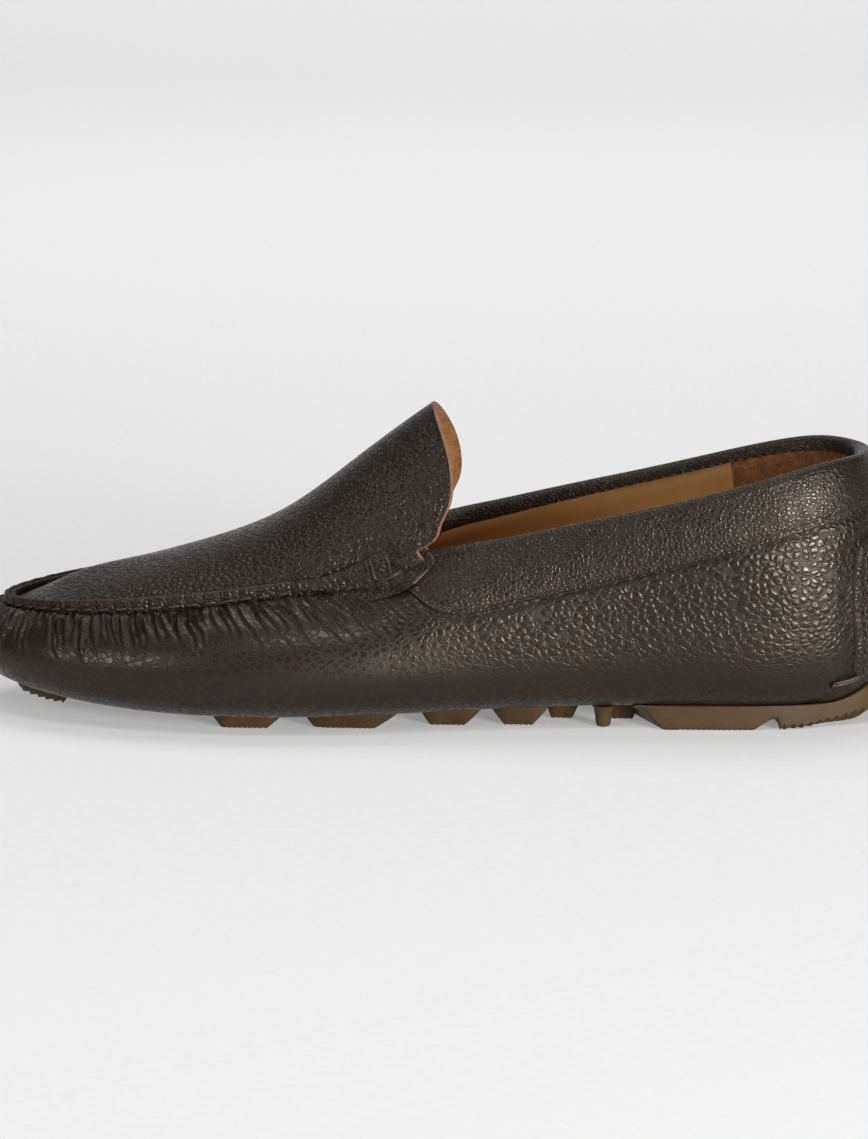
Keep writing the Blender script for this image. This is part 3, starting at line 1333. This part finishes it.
def pod_grid(shape, top_first, first, last, top_last, y, width):
    """One moulded block: sloped ends, a serrated foot and rounded corners in plan."""
    xs = np.arange(top_first, top_last + 0.01, 0.4)[:, None]
    top = SOLE_LINE(xs) - SOLE_CLEAR
    slope = np.interp(xs[:, 0], [top_first, first, last, top_last], [0, 1, 1, 0])[:, None]
    teeth = 0.32 * np.abs(np.mod(xs / SERRATION, 1) * 2 - 1) * fade(np.abs(
        xs - (first + last) / 2), (last - first) / 2 - 1, (last - first) / 2 + 0.5)
    foot = top * (1 - slope ** 0.9) + teeth
    foot = np.minimum(foot, top - 0.05)
    length = top_last - top_first
    along = np.clip(np.minimum(xs - top_first, top_last - xs) / (0.32 * length), 0, 1)
    half = width / 2 * (0.62 + 0.38 * np.sin(along * math.pi / 2) ** 0.8)
    height = top - foot
    lean = 0.32 * height
    level = [(-1, 1, 0.0), (-1, 0.5, 0.45), (-1, 0.12, 0.85), (-1, 0.0, 1.25)]
    columns = []
    for side, up, inward in level:
        columns.append((side * (half - lean * inward), foot + height * up))
    for share in (-0.5, 0.0, 0.5):
        columns.append(((half - 1.25 * lean) * share, foot + 0 * half))
    for side, up, inward in reversed(level):
        columns.append((-side * (half - lean * inward), foot + height * up))
    points = np.stack([np.concatenate([xs + 0 * c[0], y + c[0], c[1]], axis=1)
                       for c in columns], axis=1)
    shape.loft(points)


def make_pods(name, rows, node):
    shape = Shape()
    for row in rows:
        pod_grid(shape, *row)
    return shape.build(name, [GUM_SHADE], "rubber_gum", node, smooth_angle=30, weld=True)


PEGS = ((55, -23.5), (55, 21))


def make_pegs():
    """Small flared pegs in the waist, in front of the heel."""
    shape = Shape()
    turns = np.linspace(0, 2 * math.pi, 24, endpoint=False)[None, :]
    for x, y in PEGS:
        top = float(SOLE_LINE(x)) - SOLE_CLEAR
        z = np.array([top, top - 0.5, top - 1.4, top - 3.0, 1.1, 0.35, 0.05, 0.0])[:, None]
        radius = np.array([3.9, 3.3, 2.9, 2.65, 2.35, 2.0, 1.2, 0.4])[:, None]
        points = np.stack([x + radius * np.cos(turns), y + radius * np.sin(turns),
                           z + 0 * turns], axis=-1)
        shape.loft(points)
    return shape.build("waist_pegs", [GUM_SHADE], "rubber_gum", "arch_pegs", smooth_angle=40,
                       weld=True)


TOE_POD = (-131.0, -111.0, 17.0)    # first and last x, and half its width
TOE_POD_DEPTH, TOE_RIB_PITCH = 4.8, 2.6


def make_toe_pod():
    """The ribbed pod under the toe, well clear of the floor."""
    first, last, half = TOE_POD
    xs = np.arange(first, last + 0.01, 0.3)[:, None]
    top = SOLE_LINE(xs) - SOLE_CLEAR
    share = np.clip((xs - first) / (last - first), 0, 1)
    plan = half * np.sqrt(np.clip(1 - (1 - share) ** 2 * 0.85, 0, 1)) * (
        1 - 0.25 * fade(xs, last, last - 4))
    rib = np.mod(xs / TOE_RIB_PITCH, 1)
    depth = TOE_POD_DEPTH * np.clip(np.minimum(share, 1 - share) / 0.14, 0, 1) ** 0.7
    foot = top - depth + 0.9 * rib * fade(np.abs(share - 0.5), 0.38, 0.48)
    foot = np.minimum(foot, top - 0.05)
    columns = [(-plan, top), (-plan + 0.5, top - 0.45 * (top - foot)), (-plan + 1.2, foot)]
    columns += [(plan * s, foot) for s in (-0.6, -0.2, 0.2, 0.6)]
    columns += [(-c[0], c[1]) for c in reversed(columns[:3])]
    points = np.stack([np.concatenate([xs + 0 * c[0], c[0], c[1]], axis=1)
                       for c in columns], axis=1)
    shape = Shape()
    shape.loft(points)
    return shape.build("toe_pod_rubber", [GUM_SHADE], "rubber_gum", "toe_pod",
                       smooth_angle=30, weld=True)


UNIT_FRONT = 0.655            # station of the heel unit's front end
UNIT_SLOPE = (65.5, 74.5)     # x of its sloped front, from the leather down to the floor
CUP_CLIMB = (0.845, 0.93)     # stations between which the rubber climbs the leather
CUP_LOW, CUP_RISE = 14, 30    # degrees up the rounded edge in front, and more behind
BACK_RISE = 5.2               # the outer edge stands this far off the floor at the back
TOOTH_PITCH, TOOTH_DEPTH = 2.9, 1.15
NOTCH = ((101.5, 0.0), (106.8, 3.4), (108.6, 3.4), (109.6, 0.0))


def make_heel_unit():
    """The moulded heel: sloped front, a serrated floor, one notch and a toothed back edge."""
    loop, _ = even_loop(UNIT_FRONT, 2 - UNIT_FRONT, 0.55, widest_z)
    loop = loop[:, None]
    u, _ = station(loop)
    back = 1 - fade(u, *CUP_CLIMB)
    lip_angle = CUP_LOW + CUP_RISE * back
    edge = turn_point(loop, lip_angle, SOLE_CLEAR)
    x_edge = edge[..., 0]
    along = run_length(edge[:, 0])[:, None]
    along = np.minimum(along, along.max() - along)
    tooth = np.mod(along / TOOTH_PITCH, 1)
    teeth = TOOTH_DEPTH * tooth * (1 - fade(x_edge, 109.6, 110.4))
    fine = 0.30 * np.abs(np.mod(along / SERRATION, 1) * 2 - 1) * fade(x_edge, 101, 102) * (
        1 - fade(x_edge, 78, 79))
    flare = 0.6 + 0.5 * back
    rho_edge = turn(loop, lip_angle, SOLE_CLEAR)[0] + flare
    rise = BACK_RISE * (1 - fade(x_edge, 110, 146)) ** 1.2
    rho_foot = rho_edge - 1.0 - 0.5 * rise
    inner = np.linspace(0, 0.97, 9)[None, :]
    rho_low = rho_foot * inner
    floor_x = place(loop, rho_low, 0)[..., 0]
    notch = np.interp(floor_x, *zip(*NOTCH))
    edge_notch = np.interp(x_edge, *zip(*NOTCH))
    front = fade(x_edge, *UNIT_SLOPE)
    top_low = SOLE_LINE(floor_x) - SOLE_CLEAR
    z_low = notch + fine * inner ** 8 + (rise + teeth) * inner ** 12
    z_low = z_low + (top_low - 0.4 - z_low) * front
    z_foot = edge_notch + fine + rise + teeth
    z_foot = z_foot + (edge[..., 2] - 0.5 - z_foot) * front
    rho_top, z_top = turn(loop, lip_angle, SOLE_CLEAR)
    z_bevel = np.minimum(z_foot + 0.9, z_top - 0.2)
    rho_bevel = rho_edge - 0.15
    z_mid = z_foot + (z_top - z_foot) * 0.75
    outer = [(rho_foot, z_foot), (rho_bevel, z_bevel), (rho_edge, z_mid),
             (rho_top + 0.75 * flare, z_top - 0.25 * (z_top - z_mid) + 0.3),
             (rho_top + 0.1, z_top + 0.1)]
    under_angles = lip_angle * np.linspace(1, 0, 5)[None, 1:]
    columns = [place(loop, rho_low, z_low)]
    columns += [place(loop, rho, z) for rho, z in outer]
    columns.append(turn_point(loop, under_angles, SOLE_CLEAR))
    columns.append(bottom_point(loop, np.linspace(1, 0, 5)[None, 1:], SOLE_CLEAR))
    shape = Shape()
    shape.loft(np.concatenate(columns, axis=1))
    return shape.build("heel_unit_rubber", [GUM_SHADE], "rubber_gum", "heel_unit",
                       smooth_angle=32, weld=True)


# ---- build the shoe ------------------------------------------------------------------
make_wrap()
make_lip("wrap_lip", RIDGE_INSET, SEAM_RIDGE - 0.3, 21, 1)
make_lip("apron_lip", APRON_INSET, SEAM_RIDGE - 0.7, 22, -1)
make_moc_thread()
make_apron()
make_apron_lining()
for foot_side in (-1, 1):
    make_throat_tab(foot_side)
    make_throat_lacing(foot_side)
make_collar_band()
make_collar_thread()
make_topline_thread()
make_linings()
make_footbed()
make_padding()
sole_sheet("insole_board_fibre", 17, 1.8, 1.2, 0, BOARD_SHADE, "board_fibre", "insole_board")
sole_sheet("footbed_padding", 12, 3.2, 1.9, 0.3, FOAM_SHADE, "foam_grey", "footbed_foam")
make_heel_patch()
make_patch_thread()
make_heel_tie()
make_pods("forefoot_pod_rubber", FRONT_PODS, "forefoot_pods")
make_pods("waist_pod_rubber", WAIST_PODS, "arch_pods")
make_pegs()
make_toe_pod()
make_heel_unit()


# ---- studio --------------------------------------------------------------------------
VIEW_TARGET = Vector((0.0012, 0.0, 0.044))
VIEW_TURN = math.radians(3.5)
VIEW_RISE = math.radians(11.2)
VIEW_DISTANCE = 1.5
PICTURE_WIDTH = 868
FOCAL_PIXELS = 4800
SENSOR = 36.0
FLOOR_GLOW = 0.26            # the paper is lit from below as well


def make_floor():
    """A pale floor that curves up into a backdrop behind the shoe."""
    half_width, front, back_y, radius, height = 7.0, -11.0, 2.9, 0.8, 1.3
    profile = [(front, 0.0), (back_y - radius, 0.0)]
    for k in range(1, 13):
        angle = math.pi / 2 * k / 12
        profile.append((back_y - radius + radius * math.sin(angle),
                        radius - radius * math.cos(angle)))
    profile.append((back_y, height))
    verts = [(side * half_width, y, z) for y, z in profile for side in (-1, 1)]
    faces = [(2 * k, 2 * k + 1, 2 * k + 3, 2 * k + 2) for k in range(len(profile) - 1)]
    mesh = bpy.data.meshes.new("studio_floor")
    mesh.from_pydata(verts, [], faces)
    mesh.shade_smooth()
    floor = bpy.data.objects.new("studio_floor", mesh)
    bpy.context.scene.collection.objects.link(floor)
    n = Nodes("studio_paper")
    grain = n.noise(300.0, 2.0)
    paper = n.mix(n.span(grain, 0.3, 0.7), (0.595, 0.595, 0.595), (0.615, 0.615, 0.615))
    n.shader.inputs["Emission Color"].default_value = (1, 1, 1, 1)
    mesh.materials.append(n.finish(paper, 0.9, Specular_IOR_Level=0.1,
                                   Emission_Strength=FLOOR_GLOW))


# name, place, what it points at, watts, width and height; in metres
LIGHTS = (
    ("soft_overhead", (-0.1, 0.55, 2.2), (0, 0.25, 0.0), 13, 1.3, 1.1),
    ("soft_front", (0.15, -1.3, 1.9), (0, 0.1, 0.0), 12, 0.8, 0.6),
    ("soft_right", (1.0, -1.3, 0.23), (0.1, 0, 0.05), 33, 0.5, 0.42),
    ("soft_left", (-1.15, -1.2, 0.66), (-0.1, 0, 0.03), 7, 0.35, 0.45),
    ("soft_backdrop", (0, 1.1, 1.7), (0, 2.7, 0.2), 21, 2.4, 0.5))
AIR_LIGHT = 0.14              # strength of the even light all round


def add_light(name, position, target, watts, width, height):
    data = bpy.data.lights.new(name, "AREA")
    data.energy = watts
    data.shape = "RECTANGLE"
    data.size = width
    data.size_y = height
    light = bpy.data.objects.new(name, data)
    light.location = position
    light.rotation_euler = (Vector(target) - light.location).to_track_quat("-Z", "Y").to_euler()
    bpy.context.scene.collection.objects.link(light)


def make_light():
    for light in LIGHTS:
        add_light(*light)
    world = bpy.data.worlds.new("studio_air")
    bpy.context.scene.world = world
    world.use_nodes = True
    background = world.node_tree.nodes["Background"]
    background.inputs["Color"].default_value = (1, 1, 1, 1)
    background.inputs["Strength"].default_value = AIR_LIGHT
    bpy.context.scene.view_settings.view_transform = "Standard"


def make_camera():
    data = bpy.data.cameras.new("camera")
    data.sensor_fit = "HORIZONTAL"
    data.sensor_width = SENSOR
    data.lens = FOCAL_PIXELS / PICTURE_WIDTH * SENSOR
    data.clip_start = 0.05
    data.clip_end = 20
    camera = bpy.data.objects.new("camera", data)
    away = Vector((math.cos(VIEW_RISE) * math.sin(VIEW_TURN),
                   -math.cos(VIEW_RISE) * math.cos(VIEW_TURN), math.sin(VIEW_RISE)))
    camera.location = VIEW_TARGET + away * VIEW_DISTANCE
    camera.rotation_euler = (-away).to_track_quat("-Z", "Y").to_euler()
    bpy.context.scene.collection.objects.link(camera)
    bpy.context.scene.camera = camera


make_floor()
make_light()
make_camera()
bpy.context.view_layer.update()
